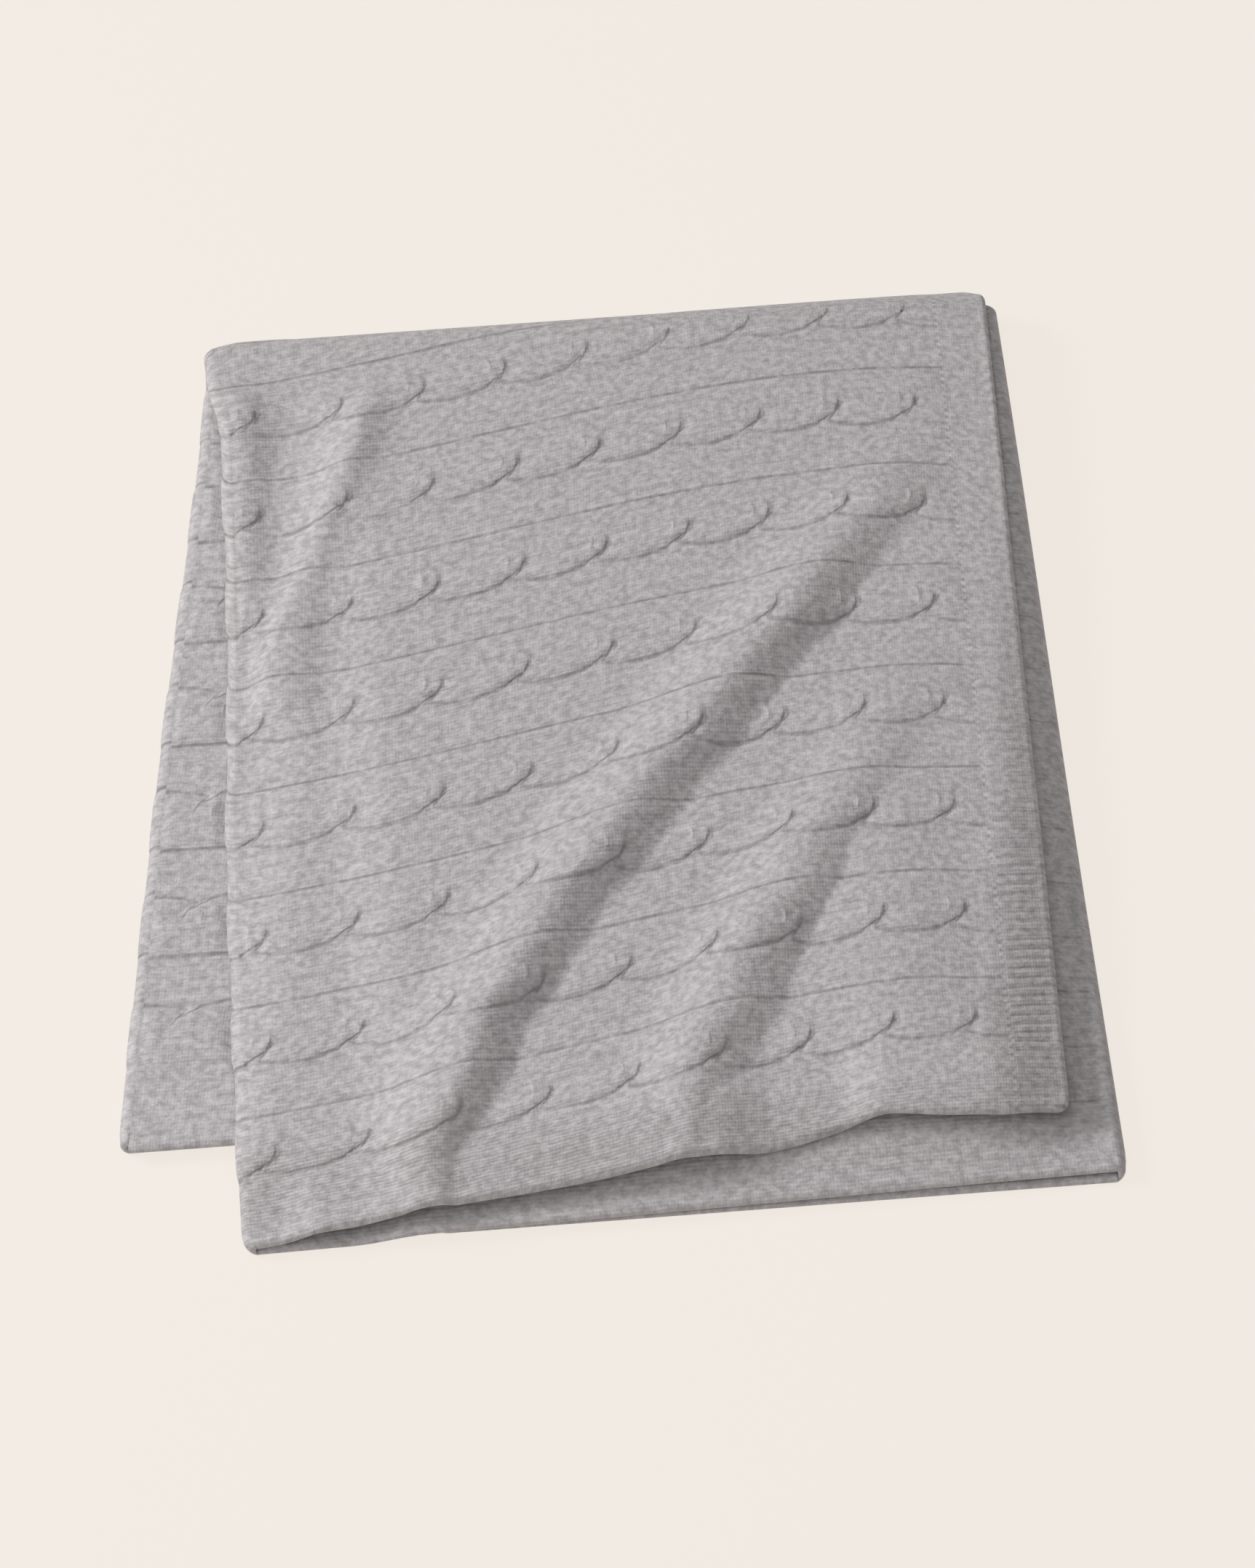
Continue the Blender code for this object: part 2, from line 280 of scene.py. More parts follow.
def hem_lift(x):
    """How far the top leaf's hem stands up from the leaf beneath, along its length."""
    left = 0.0080 * after(x, -0.252, 0.035) * before(x, 0.072, 0.042)
    return left + 0.0050 * bell(x - 0.012, 0.040) + 0.0100 * after(x, 0.108, 0.035)


def hem_wave(x, y):
    """The hem's wave, and the low swell behind its right end."""
    swell = 0.0070 * bell(x - 0.158, 0.048) + 0.0060 * after(x, 0.205, 0.055)
    at_hem = before(y, row_arch(x) - 0.245, 0.060)
    return mix(swell * before(y, 0.06, 0.18), hem_lift(x), at_hem)


def wrinkles(x, y, w):
    """The left fold's puffed edge, and a wrinkle beside it near the far fold."""
    length = before(y, 0.335, 0.05) * after(y, 0.07, 0.08)
    puffed = 0.0080 * bell(w - 0.006, 0.018) * length
    line = -0.2285 + 0.070 * after(y, 0.04, 0.34) + 0.10 * (y - 0.10).clip(0.0, 0.2)
    low = before(y, 0.21, 0.12)
    width = np.where(x < line, 0.014, mix(0.016, 0.026, low))
    wrinkle = mix(0.0082, 0.0105, low) * bell(x - line, width)
    wrinkle = wrinkle * before(y, 0.320, 0.06) * after(y, 0.035, 0.05)
    return puffed + wrinkle * smooth(w / 0.012)


def top_waves(x, y, w):
    """Rise of the top leaf over its ridges, its hem's wave and its wrinkles."""
    rise = np.maximum(ridges(x, y), hem_wave(x, y)) * smooth(w / 0.040)
    return rise + wrinkles(x, y, w)


# Relief of the knit, on its right side


def cable_relief(w, v):
    """Height of the cable rows over plain knit. Each strand's rounded tip lies over the
    next strand's tail, with a short slit between them."""
    row = np.mod(v, ROW_PITCH) - CABLE_MIDDLE
    row = np.where(row < -ROW_PITCH / 2, row + ROW_PITCH, row)
    up = row - CROSSING_START
    tip = TIP_REACH * np.sin(math.pi * np.clip(up / TIP_RISE, 0.0, 1.0))
    run = (w - FIRST_CROSSING - tip) / CABLE_PITCH
    share = run - np.floor(run)
    behind, ahead = share * CABLE_PITCH, (1 - share) * CABLE_PITCH
    low = CABLE_LOW - LOW_DIP * np.sin(math.pi * share**LOW_LEAN) + LOW_END * after(share, 0.84, 0.16)
    high = CABLE_HIGH - HIGH_WAVE * np.cos(2 * math.pi * share)
    across = (row - (low + high) / 2) / ((high - low) / 2)
    body = np.clip(1 - np.abs(across) ** 3.2, 0.0, 1.0) ** 0.6
    crossing = after(up, -0.002, 0.004) * (1 - after(up, 0.008, 0.015))
    lift = 0.0019 + crossing * (0.0017 * np.exp(-ahead / 0.009) - 0.0015 * np.exp(-behind / 0.009))
    groove = 0.0005 * bell(row - low, 0.0020) + 0.0003 * bell(row - high, 0.0018)
    loop = 0.0007 * bell(ahead - LOOP_BACK, 0.0018) * after(up, 0.007, 0.004)
    loop = loop * (1 - after(up, 0.017, 0.006))
    return body * lift - groove + loop


def rib_relief(v):
    """Ribs that run across a free edge's band, clearest near the hem."""
    ribs = 0.5 + 0.5 * np.cos(2 * math.pi * v / RIB_PITCH)
    return (0.0009 * ribs - 0.0005) * mix(0.15, 1.0, before(v, 0.34, 0.28))


def right_side_relief(spot):
    """Cables inside the border and the band, ribs in the band, and rims along the edges."""
    ribbed = before(spot.free, RIB_WIDTH, 0.004) * after(spot.free, 0.006, 0.003)
    cabled = after(spot.hem, 0.026, 0.008) * after(spot.free, RIB_WIDTH - 0.002, 0.024)
    rim = 0.0006 * bell(spot.free - 0.0030, 0.0025) + 0.0005 * bell(spot.hem - 0.004, 0.003)
    return cabled * cable_relief(spot.w, spot.v) + ribbed * rib_relief(spot.v) + rim


def relief_shown(half, layer, x, y, c):
    """Where the knit is free to rise: 1 in the open, 0 where a layer lies on it."""
    near_fold = 1 - 0.45 * after(y, FOLD_Y - 0.03, 0.03)
    if layer == "top":
        return near_fold if half != "rear" else 0.0
    if layer == "left_bend":
        return near_fold * before(c, 2.2, 1.2) if half != "rear" else 0.5 * bell(c - 1.8, 0.8)
    if half == "rear" and layer == "middle":
        cover = np.minimum(front_left(y) - SIDE_REACH - x, x - rear_left(y) + 0.002)
        return after(cover, 0.001, 0.008)
    return 0.0


# Where the middle of the cloth lies. c runs across a layer, and t along it from the hem to
# the far fold.


class Place:
    """One half of the blanket's plan: its fold lines, free ends and hems."""

    def __init__(self, left, right, edge, end, hems, front):
        self.left, self.right, self.edge, self.end = left, right, edge, end
        self.hems, self.front = hems, front

    def along(self, hem):
        """A place along the cloth, for the layers whose hem is straight."""
        return hem if self.front else STRIP_LENGTH - hem


# A point of the cloth: x, y, its distance from the far fold's axis, the way its right side
# faces in x and in reach, its place on the cloth across (w) and along (v), and how far it
# is from a free edge and from the hem
Spot = namedtuple("Spot", "x y reach face_x face_reach w v free hem")

PLACES = {
    "front": Place(front_left, front_right, top_edge, inner_end, None, True),
    "rear": Place(rear_left, rear_right, bottom_edge, rear_inner_end, REAR_HEMS, False),
}


def corner_pull(free, t, radius=0.011):
    """How far a hem draws back next to a free corner."""
    short = np.clip(1 - free / radius, 0.0, 1.0)
    return radius * (1 - np.sqrt(1 - short**2)) * (1 - smooth(t / 0.05))


def across_top(place, c, y):
    """x at c across the outer leaf, whose knit lies a little closer towards the free edge."""
    share = (1.065 * c - 0.1635 * c**2) / 0.5221
    return mix(place.left(y), place.edge(y), share)


def bend_tuck(hem):
    """Share of a side fold's roundness, less next to the hem."""
    return mix(HEM_TUCK, 1.0, smooth(hem / 0.014))


def outer_row(place, c, t, rear_length):
    """x, y, v and the distance from the hem, on row t of the outer leaf."""
    start = np.zeros_like(c)
    pull = corner_pull(TOP_WIDTH - c, t)
    if place.front:
        y = start
        for _ in range(4):
            y = top_row(across_top(place, c, y), t)
        y = y + pull
        x = across_top(place, c, y)
        v = y + drop(x, y) / math.sqrt(3) + 0.319 - row_arch(x)
        return x, y, v, y - top_row(x, start) - pull
    y = mix(place.hems[0], FOLD_Y, t / ROWS_END)
    hem = y - place.hems[0]
    y = y + pull
    return across_top(place, c, y), y, rear_length - hem, hem


def outer_leaf(place, c, t):
    """The top leaf in front, and the bottom leaf at the rear."""
    flat = np.zeros_like(c)
    x, y, v, hem = outer_row(place, c, t, BOTTOM_LENGTH)
    return Spot(x, y, flat + OUTER_REACH, flat, flat + 1, c, v, TOP_WIDTH - c, hem)


def left_bend(place, c, t):
    flat = np.zeros_like(c)
    x, y, v, hem = outer_row(place, flat, t, STRIP_LENGTH)
    if place.front:
        below = mix(middle_hem(x), FOLD_Y, t / ROWS_END)
        y = mix(y, below, smooth(c / math.pi))
        x = place.left(y)
    x = x - bend_tuck(hem) * BEND * np.sin(c)
    reach = (MIDDLE_REACH + OUTER_REACH) / 2 + BEND * np.cos(c)
    w = -FOLD_WRAP * c / math.pi
    return Spot(x, y, reach, -np.sin(c), np.cos(c), w, v, flat + 1, hem)


def middle_leaf(place, c, t):
    flat = np.zeros_like(c)
    share = c / MIDDLE_WIDTH
    x = mix(place.left(flat), place.right(flat), share)
    start = middle_hem(x) if place.front else place.hems[1] + flat
    y = mix(start, FOLD_Y, t / ROWS_END)
    x = mix(place.left(y), place.right(y), share)
    hem = y - start
    w = -FOLD_WRAP - c
    return Spot(x, y, flat + MIDDLE_REACH, flat, flat - 1, w, place.along(hem), flat + 1, hem)


def right_bend(place, c, t):
    flat = np.zeros_like(c)
    start = mix(MIDDLE_HEM[1], INNER_HEM, c / math.pi) if place.front else place.hems[1] + flat
    y = mix(start, FOLD_Y, t / ROWS_END)
    hem = y - start
    x = place.right(y) + bend_tuck(hem) * BEND * np.sin(c)
    reach = (INNER_REACH + MIDDLE_REACH) / 2 + BEND * np.cos(c)
    w = -FOLD_WRAP - MIDDLE_WIDTH - FOLD_WRAP * c / math.pi
    return Spot(x, y, reach, -np.sin(c), -np.cos(c), w, place.along(hem), flat + 1, hem)


def inner_leaf(place, c, t):
    flat = np.zeros_like(c)
    start = INNER_HEM if place.front else place.hems[2]
    y = mix(start, FOLD_Y, t / ROWS_END)
    hem = y - start
    y = y + corner_pull(INNER_WIDTH - c, t)
    x = mix(place.right(y), place.end(y), c / INNER_WIDTH)
    w = -2 * FOLD_WRAP - MIDDLE_WIDTH - c
    return Spot(x, y, flat + INNER_REACH, flat, flat + 1, w, place.along(hem), INNER_WIDTH - c, hem)


LAYERS = {
    "top": outer_leaf,
    "left_bend": left_bend,
    "middle": middle_leaf,
    "right_bend": right_bend,
    "inner": inner_leaf,
}


def turned_spot(layer, c, t, theta):
    """A point on the way round the far fold, from the front's end to the rear's."""
    ends = [LAYERS[layer](place, c, t) for place in PLACES.values()]
    return Spot(*(mix(front, rear_end, theta / math.pi) for front, rear_end in zip(*ends)))


# The two sides of the cloth


def rounded(distance):
    """Share of the thickness left at a distance from a rounded free edge."""
    short = np.clip(1 - distance / HALF, 0.0, 1.0)
    return np.sqrt(np.clip(1 - short**2, 0.02, 1.0))


def fold_end(x):
    """Share of its depth that the far fold has at x, less towards its two ends."""
    return 1 - 0.32 * (before(x, -0.236, 0.024) + after(x, 0.256, 0.026))


def surface(half, layer, c, t, theta, side):
    """A point on one side of the cloth, with its w and v. half is front, rear or fold, and
    side is 1 on the right side and -1 on the wrong."""
    turning = half == "fold"
    spot = turned_spot(layer, c, t, theta) if turning else LAYERS[layer](PLACES[half], c, t)
    shown = relief_shown(half, layer, spot.x, spot.y, c)
    if turning:
        shown = shown * (1 - after(theta / math.pi, 0.55, 0.45))
    within = {"left_bend": side < 0, "right_bend": side > 0}.get(layer, False)
    thin = np.minimum(rounded(spot.free), rounded(spot.hem)) * np.where(within, PINCH, 1.0)
    relief = np.where(side > 0, right_side_relief(spot) * shown * smooth(thin / 0.9), 0.0)
    offset = side * HALF * thin + relief
    x, y = spot.x + spot.face_x * offset, spot.y
    reach = spot.reach + spot.face_reach * offset
    if half == "front":
        z = AXIS_Z + reach + drop(x, y, layer == "inner")
        if layer == "top":
            z = z + top_waves(x, y, c)
        if layer == "left_bend":
            z = z + top_waves(x, y, 0.0 * c) * (0.5 + 0.5 * np.cos(c))
    elif half == "rear":
        z = AXIS_Z - reach
    else:
        y = FOLD_Y + reach * np.sin(theta) * fold_end(x)
        z = AXIS_Z + reach * np.cos(theta)
    return np.stack([x, y, z], -1) + SHIFT, spot.w, spot.v


# Meshes


def cloth_grid(name, across, down):
    """A grid raised to two sides, one unit apart."""
    bm = bmesh.new()
    bmesh.ops.create_grid(bm, x_segments=across, y_segments=down, size=0.5)
    grown = bmesh.ops.extrude_face_region(bm, geom=bm.faces[:])["geom"]
    upper = [item for item in grown if isinstance(item, bmesh.types.BMVert)]
    bmesh.ops.translate(bm, verts=upper, vec=(0.0, 0.0, 1.0))
    mesh = bpy.data.meshes.new(name)
    bm.to_mesh(mesh)
    bm.free()
    return mesh


def vertex_values(mesh, name):
    """Three numbers for each vertex, such as its place."""
    values = np.empty(len(mesh.vertices) * 3)
    mesh.vertices.foreach_get(name, values)
    return values.reshape(-1, 3)


def turn_outward(mesh):
    bm = bmesh.new()
    bm.from_mesh(mesh)
    bmesh.ops.recalc_face_normals(bm, faces=bm.faces)
    for face in bm.faces:
        face.smooth = True
    bm.to_mesh(mesh)
    bm.free()


def grid_piece(name, columns, rows, point, finish):
    """A closed piece of cloth: its grid, laid by point(c, r, side)."""
    across, down = len(columns) - 1, len(rows) - 1
    mesh = cloth_grid(name, across, down)
    grid = vertex_values(mesh, "co")
    c = np.asarray(columns)[np.rint((grid[:, 0] + 0.5) * across).astype(int)]
    r = np.asarray(rows)[np.rint((grid[:, 1] + 0.5) * down).astype(int)]
    side = np.where(grid[:, 2] > 0.5, 1.0, -1.0)
    spots, w, v = point(c, r, side)
    mesh.vertices.foreach_set("co", spots.ravel())
    mesh.update()

    loops = np.empty(len(mesh.loops), dtype=np.int32)
    mesh.loops.foreach_get("vertex_index", loops)
    cloth = mesh.uv_layers.new(name="cloth")
    cloth.uv.foreach_set("vector", np.stack([w, v], -1)[loops].ravel())
    right_side = mesh.attributes.new("right_side", "FLOAT", "POINT")
    right_side.data.foreach_set("value", (side > 0).astype(float))

    turn_outward(mesh)
    inside = (c > columns[0]) & (c < columns[-1]) & (r > rows[0]) & (r < rows[-1])
    normals = joined_normals(mesh, spots, c, r, side, inside, point)
    mesh.normals_split_custom_set_from_vertices(normals.tolist())
    made = bpy.data.objects.new(name, mesh)
    bpy.context.scene.collection.objects.link(made)
    mesh.materials.append(finish)
    return made


def joined_normals(mesh, spots, c, r, side, inside, point):
    """Vertex normals, taken from the cloth itself along the lines where pieces meet."""
    own = vertex_values(mesh, "normal")
    small = 0.0004
    by_c = point(c + small, r, side)[0] - spots
    by_r = point(c, r + small, side)[0] - spots
    exact = np.cross(by_c, by_r)
    length = np.linalg.norm(exact, axis=1, keepdims=True)
    exact = exact / np.maximum(length, 1e-12)
    for value in (1.0, -1.0):
        mine = side == value
        exact[mine] *= np.sign((exact[mine & inside] * own[mine & inside]).sum(1).mean())
    seam = ~inside & (length[:, 0] > 1e-9)
    own[seam] = exact[seam]
    return own


# Rows and columns of the grids, shared by all the pieces that meet along them


def spaced(start, stop, step):
    count = max(1, int(round((stop - start) / step)))
    return [start + (stop - start) * n / count for n in range(count + 1)]


def joined(*parts):
    """Runs of numbers end to end, without those that repeat."""
    values = []
    for part in parts:
        for value in part:
            if not values or value > values[-1] + 1e-6:
                values.append(value)
    return values


def cable_rows(fine_from=0.041, fine_length=0.050, fine=0.0021, coarse=0.0044):
    """Rows from the border on, closer together through each row of cables."""
    rows = [BORDER_WIDTH]
    while rows[-1] < BOWED_ROWS:
        through = (rows[-1] - fine_from) % ROW_PITCH
        rows.append(rows[-1] + (fine if through < fine_length else coarse))
    rows[-1] = BOWED_ROWS
    return joined(rows, spaced(BOWED_ROWS, ROWS_END, 0.0028))


def edge_columns(start, width, step):
    """Columns of a ribbed band, finer next to the free edge so that it is round."""
    return joined(spaced(start, width - HALF, step), [width - d for d in (0.0025, 0.0012, 0.0004, 0.0)])


HEM_NOSE = [share * HALF for share in (0.0, 0.1, 0.35, 0.7)]
HEM_ROWS = joined(HEM_NOSE, spaced(HALF, BORDER_WIDTH, 0.0023))
LEAF_ROWS = cable_rows()
ALL_ROWS = joined(HEM_ROWS, LEAF_ROWS)
RIB_ROWS = joined(HEM_ROWS, spaced(BORDER_WIDTH, ROWS_END, 0.0014))
PLAIN_HEM_ROWS = joined(HEM_NOSE, spaced(HALF, BORDER_WIDTH, 0.006))
PLAIN_ROWS = spaced(BORDER_WIDTH, ROWS_END, 0.008)
PLAIN_ALL = joined(PLAIN_HEM_ROWS, PLAIN_ROWS)
ARC_ROWS = spaced(0.0, math.pi, math.pi / 24)

TOP_COLUMNS = spaced(0.0, LEAF_END, 0.0023)
EDGE_COLUMNS = edge_columns(LEAF_END, TOP_WIDTH, 0.0025)
WIDE_COLUMNS = spaced(0.0, LEAF_END, 0.009)
MIDDLE_COLUMNS = joined(spaced(0.0, 0.480, 0.010), spaced(0.480, MIDDLE_WIDTH, 0.004))
STRIP_COLUMNS = joined(spaced(0.0, 0.110, 0.0023), spaced(0.110, MIDDLE_WIDTH, 0.010))
INNER_COLUMNS = joined(spaced(0.0, 0.030, 0.004), spaced(0.030, INNER_LEAF_END, 0.010))
INNER_EDGE_COLUMNS = edge_columns(INNER_LEAF_END, INNER_WIDTH, 0.004)
BEND_COLUMNS = spaced(0.0, math.pi, math.pi / 12)


# Finishes

YARN_GREY = (0.470, 0.452, 0.462)


class Amount:
    """A number that varies over the cloth. What is worked out from it becomes shader nodes."""

    def __init__(self, cloth, socket):
        self.cloth, self.socket = cloth, socket

    def __add__(self, other):
        return self.cloth.calc("ADD", self, other)

    def __sub__(self, other):
        return self.cloth.calc("SUBTRACT", self, other)

    def __rsub__(self, other):
        return self.cloth.calc("SUBTRACT", other, self)

    def __mul__(self, other):
        return self.cloth.calc("MULTIPLY", self, other)

    def __truediv__(self, other):
        return self.cloth.calc("DIVIDE", self, other)

    def __abs__(self):
        return self.cloth.calc("ABSOLUTE", self)

    def ramp(self, low, high, start=0.0, stop=1.0, kind="SMOOTHSTEP"):
        """start up to low, changing to stop from high on."""
        node = self.cloth.add("ShaderNodeMapRange", self, low, high, start, stop)
        node.interpolation_type = kind
        return Amount(self.cloth, node.outputs[0])

    def line(self, width, soft):
        """1 where this is within a width of 0, fading to 0 at soft."""
        return abs(self).ramp(width, soft, 1.0, 0.0)


class ClothFinish:
    """A cloth's material, which reads its place across (w) and along (v) the cloth."""

    def __init__(self, name):
        self.made = bpy.data.materials.new(name)
        self.made.use_nodes = True
        self.nodes, self.links = self.made.node_tree.nodes, self.made.node_tree.links
        self.shader = self.nodes["Principled BSDF"]
        cloth_map = self.nodes.new("ShaderNodeUVMap")
        cloth_map.uv_map = "cloth"
        self.uv = cloth_map.outputs["UV"]
        place = self.add("ShaderNodeSeparateXYZ", self.uv)
        self.w, self.v = Amount(self, place.outputs["X"]), Amount(self, place.outputs["Y"])
        side = self.nodes.new("ShaderNodeAttribute")
        side.attribute_name = "right_side"
        self.right_side = Amount(self, side.outputs["Fac"])

    def add(self, kind, *values, **named):
        """A node whose inputs, by place or by name, take numbers or other nodes' outputs."""
        node = self.nodes.new(kind)
        for key, value in [*enumerate(values), *named.items()]:
            value = value.socket if isinstance(value, Amount) else value
            if isinstance(value, bpy.types.NodeSocket):
                self.links.new(value, node.inputs[key])
            else:
                node.inputs[key].default_value = value
        return node

    def calc(self, operation, *values):
        node = self.add("ShaderNodeMath", *values)
        node.operation = operation
        return Amount(self, node.outputs[0])

    def noise(self, scale, detail=2.0, roughness=0.5, along=1.0):
        place = self.uv
        if along != 1.0:
            stretch = self.add("ShaderNodeMapping", self.uv, Scale=(along, 1.0, 1.0))
            place = stretch.outputs[0]
        node = self.add("ShaderNodeTexNoise", Vector=place, Scale=scale, Detail=detail, Roughness=roughness)
        return Amount(self, node.outputs["Fac"])


# Each kind of mark gives its painted shade, how high it stands, and its painted light


def cable_marks(cloth):
    """Grooves along the cable rows and slits at their crossings, both darkened with painted shade, loops
    raised at the crossings, and the line of raised stitches where the ribbed band is joined on, with a
    painted highlight on each stitch and painted shade between them."""
    row = cloth.calc("MODULO", cloth.v, ROW_PITCH) - CABLE_MIDDLE
    row = row + cloth.calc("LESS_THAN", row, -ROW_PITCH / 2) * ROW_PITCH
    up = row - CROSSING_START
    tip = cloth.calc("SINE", up.ramp(0.0, TIP_RISE, 0.0, math.pi, "LINEAR")) * TIP_REACH
    share = cloth.calc("FRACT", (cloth.w - FIRST_CROSSING - tip) / CABLE_PITCH)
    ahead = (1.0 - share) * CABLE_PITCH
    beside = (0.5 - abs(share - 0.5)) * CABLE_PITCH
    slit = beside.ramp(0.0002, 0.0018, 0.75, 0.0) * up.ramp(0.0, 0.004) * up.ramp(0.009, 0.017, 1.0, 0.0)
    dip = cloth.calc("SINE", cloth.calc("POWER", share, LOW_LEAN) * math.pi)
    low = share.ramp(0.84, 1.0, CABLE_LOW, CABLE_LOW + LOW_END) - dip * LOW_DIP
    lower = (row - low).line(0.0002, 0.0022) * share.ramp(0.0, 0.8, 0.62, 0.85)
    upper = (row - (CABLE_HIGH - HIGH_WAVE)).line(0.0002, 0.0018) * 0.85
    grooves = cloth.calc("MAXIMUM", lower, upper) * cloth.noise(60.0).ramp(0.28, 0.60, 0.45, 1.0)
    inside = cloth.v.ramp(0.028, 0.034) * cloth.w.ramp(LEAF_END - 0.006, LEAF_END, 1.0, 0.0)
    inside = inside * cloth.v.ramp(STRIP_LENGTH - 0.090, STRIP_LENGTH - 0.084, 1.0, 0.0)
    # Painted shade in the grooves and slits, a quarter as strong on the wrong side
    painted_shade = cloth.calc("MAXIMUM", grooves, slit) * inside * (cloth.right_side * 0.75 + 0.25)
    loop = (ahead - LOOP_BACK).line(0.0002, 0.0018) * up.ramp(0.007, 0.011)
    loop = loop * up.ramp(0.015, 0.021, 1.0, 0.0) * inside * cloth.right_side
    # The joining line's raised stitches, with a painted highlight on each stitch and painted shade between
    # them
    stitches = cloth.calc("SINE", cloth.v * (2 * math.pi / 0.0056))
    beads = (cloth.w - (LEAF_END - 0.0026)).line(0.0004, 0.0024) * stitches
    return painted_shade, loop * 0.0005 + beads * 0.0004 - painted_shade * 0.0010, beads * 0.13


def rib_marks(cloth):
    """Ribs across the band, clearest near the hem, with painted shade in the hollows between them that is
    fainter in patches.
    """
    near_hem = cloth.v.ramp(0.06, 0.34, 1.0, 0.12)
    rib = cloth.calc("COSINE", cloth.v * (2 * math.pi / RIB_PITCH))
    # Patches where the painted shade between the ribs is fainter
    rib_shade_patches = cloth.noise(28.0).ramp(0.35, 0.62, 0.15, 1.0)
    return rib.ramp(-1.0, -0.2, 0.70, 0.0) * near_hem * rib_shade_patches, rib * near_hem * 0.00025, 0.0


def row_marks(cloth):
    """Faint grooves between the rows, on the wrong side, darkened with painted shade."""
    ladder = cloth.calc("SINE", cloth.v * (4 * math.pi / ROW_PITCH))
    painted_shade = ladder.ramp(0.985, 1.0, 0.0, 0.5)
    return painted_shade, painted_shade * -0.0008, 0.0


def knit_finish(name, share, marks):
    """Heather knit, in a share of the yarn's grey. Its stitches follow the cloth."""
    cloth = ClothFinish(name)
    painted_shade, raised, light = marks(cloth)

    # Wales lie across the blanket, courses along it; both wander a little
    wander = (cloth.noise(45.0) - 0.5) * 0.0030
    wale = cloth.calc("SINE", (cloth.v + wander) * (2 * math.pi / 0.0025))
    course = cloth.calc("SINE", (cloth.w + wander) * (2 * math.pi / 0.0021))
    fuzz = (cloth.noise(900.0, 3.0, 0.7) - 0.5) * 0.00040
    tufts = (cloth.noise(150.0) - 0.5) * 0.0007
    height = (wale + course * 0.35) * 0.00016 + fuzz + tufts + raised

    # Grey fibres of several shades, in flecks that run with the wales, with painted shade in the hollows
    # between the wales
    flecks = cloth.noise(210.0, 3.5, 0.66, 0.8).ramp(0.28, 0.72, 0.77, 1.23)
    clouds = cloth.noise(75.0).ramp(0.2, 0.8, -0.045, 0.045)
    streaks = (cloth.noise(420.0, 2.0, 0.6, 0.22) - 0.5) * 0.22
    fibre = (cloth.noise(1200.0, 2.0, 0.6) - 0.5) * 0.30
    shade = flecks + clouds + fibre + streaks - wale.ramp(-1.0, -0.3, 1.0, 0.0) * 0.05
    # The marks' painted light is added, and their painted shade darkens the colour
    shade = (shade + light) * (1.0 - painted_shade * 0.42)

    grey = cloth.add("ShaderNodeCombineColor", shade, shade, shade)
    colour = cloth.nodes.new("ShaderNodeMix")
    colour.data_type = "RGBA"
    colour.blend_type = "MULTIPLY"
    colour.inputs["Factor"].default_value = 1.0
    colour.inputs[6].default_value = (*(share * part for part in YARN_GREY), 1.0)
    cloth.links.new(grey.outputs[0], colour.inputs[7])
    cloth.links.new(colour.outputs[2], cloth.shader.inputs["Base Color"])
    bump = cloth.add("ShaderNodeBump", Strength=0.55, Distance=1.0, Height=height)
    cloth.links.new(bump.outputs["Normal"], cloth.shader.inputs["Normal"])

    cloth.shader.inputs["Roughness"].default_value = 0.92
    cloth.shader.inputs["Specular IOR Level"].default_value = 0.18
    cloth.shader.inputs["Sheen Weight"].default_value = 0.22
    cloth.shader.inputs["Sheen Roughness"].default_value = 0.45
    return cloth.made


finishes = {
    "cable_knit": knit_finish("cable_knit_cloth", 1.00, cable_marks),
    "knit_wrong_side": knit_finish("wrong_side_cloth", 0.99, row_marks),
    "ribbed_knit": knit_finish("ribbed_cloth", 1.00, rib_marks),
    "plain_border": knit_finish("plain_border_cloth", 1.02, cable_marks),
    "folded_knit": knit_finish("folded_cloth", 0.98, cable_marks),
}


# The pieces


def declare(node, flat):
    """Hides the node that a piece of cloth stands for. Its flat size is not used."""
    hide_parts(node)


def half_piece(half, node, layer, columns, rows, slot, flat):
    theta = math.pi if half == "rear" else 0.0

    def point(c, t, side):
        return surface(half, layer, c, t, np.full_like(c, theta), side)

    made = grid_piece(node + "_cloth", columns, rows, point, finishes[slot])
    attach(made, half + "_half")
    declare(node, flat)


